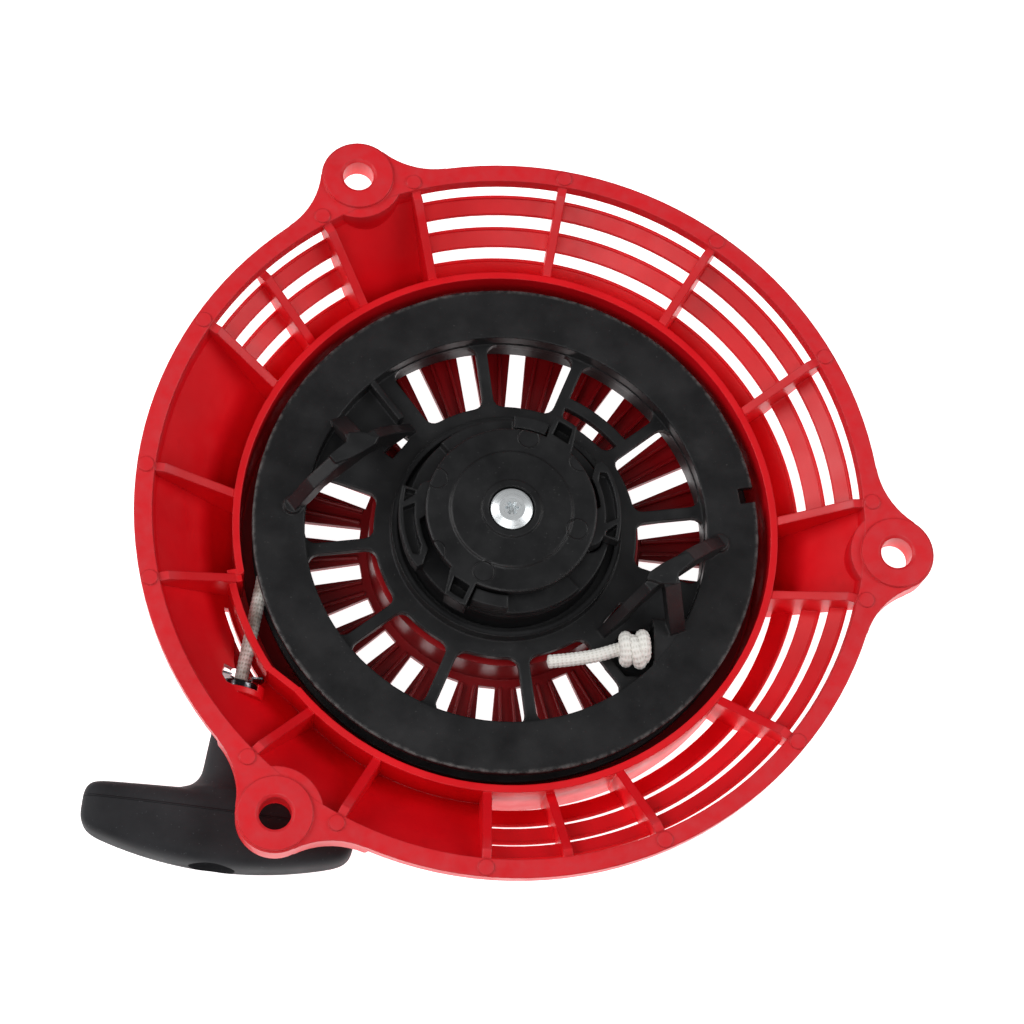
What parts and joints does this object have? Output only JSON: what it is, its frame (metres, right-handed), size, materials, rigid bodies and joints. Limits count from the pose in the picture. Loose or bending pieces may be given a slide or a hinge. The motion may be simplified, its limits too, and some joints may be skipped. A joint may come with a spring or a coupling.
{
  "type": "recoil starter",
  "caption": "Recoil starter with a slotted bell case, spoked rope reel, swinging ratchets, centre guide and a pull grip on a braided rope.",
  "frame": {"origin": "on the starter axis, in the plane of the flange face, at the centre of the bolt circle", "axes": "+Z along the starter axis towards the engine; the rope leaves at the -X -Y side and the grip lies towards -Y"},
  "size_m": [0.2053, 0.1871, 0.0394],
  "materials": {
    "red_plastic": "satin moulded plastic",
    "black_plastic": "satin moulded plastic",
    "grip_plastic": "soft satin",
    "zinc": "bright zinc",
    "spring_steel": "oiled spring steel",
    "rope": "braided nylon"
  },
  "bodies": {
    "case": {"case": "red_plastic", "rope_eyelet": "zinc", "center_screw": "zinc", "mainspring": "spring_steel", "rope_run": "rope"},
    "reel": {"reel": "black_plastic", "rope_winding": "rope", "rope_knot": "rope", "rope_tail": "rope", "ratchet_spring_a": "spring_steel", "ratchet_spring_b": "spring_steel"},
    "guide": {"ratchet_guide": "black_plastic", "friction_spring": "spring_steel"},
    "ratchet_a": {"ratchet_a": "black_plastic"},
    "ratchet_b": {"ratchet_b": "black_plastic"},
    "grip": {"grip": "grip_plastic", "grip_rope": "rope", "grip_washer": "zinc", "grip_knot": "rope"}
  },
  "joints": [
    {"name": "grip_pull", "type": "slide", "parent": "case", "child": "grip", "axis": [-0.1132, -0.9936, 0], "range_m": [0, 1.1]},
    {"name": "reel_spin", "type": "hinge", "parent": "case", "child": "reel", "pos_m": [0, 0, -0.02], "axis": [0, 0, 1], "range_deg": [0, 1120], "stiffness_Nm_per_rad": 0.03, "springref_deg": -572.96},
    {"name": "guide_lag", "type": "hinge", "parent": "reel", "child": "guide", "pos_m": [0, 0, -0.005], "axis": [0, 0, 1], "range_deg": [-30, 0]},
    {"name": "ratchet_a_swing", "type": "hinge", "parent": "reel", "child": "ratchet_a", "pos_m": [-0.01978, 0.00457, -0.008], "axis": [0, 0, 1], "range_deg": [-22, 0]},
    {"name": "ratchet_b_swing", "type": "hinge", "parent": "reel", "child": "ratchet_b", "pos_m": [0.01978, -0.00457, -0.008], "axis": [0, 0, 1], "range_deg": [-22, 0]}
  ],
  "couplings": [
    {"joint": "reel_spin", "follows": "grip_pull", "rad_per_m": 17.668},
    {"joint": "ratchet_a_swing", "follows": "guide_lag", "ratio": 0.7},
    {"joint": "ratchet_b_swing", "follows": "guide_lag", "ratio": 0.7}
  ]
}
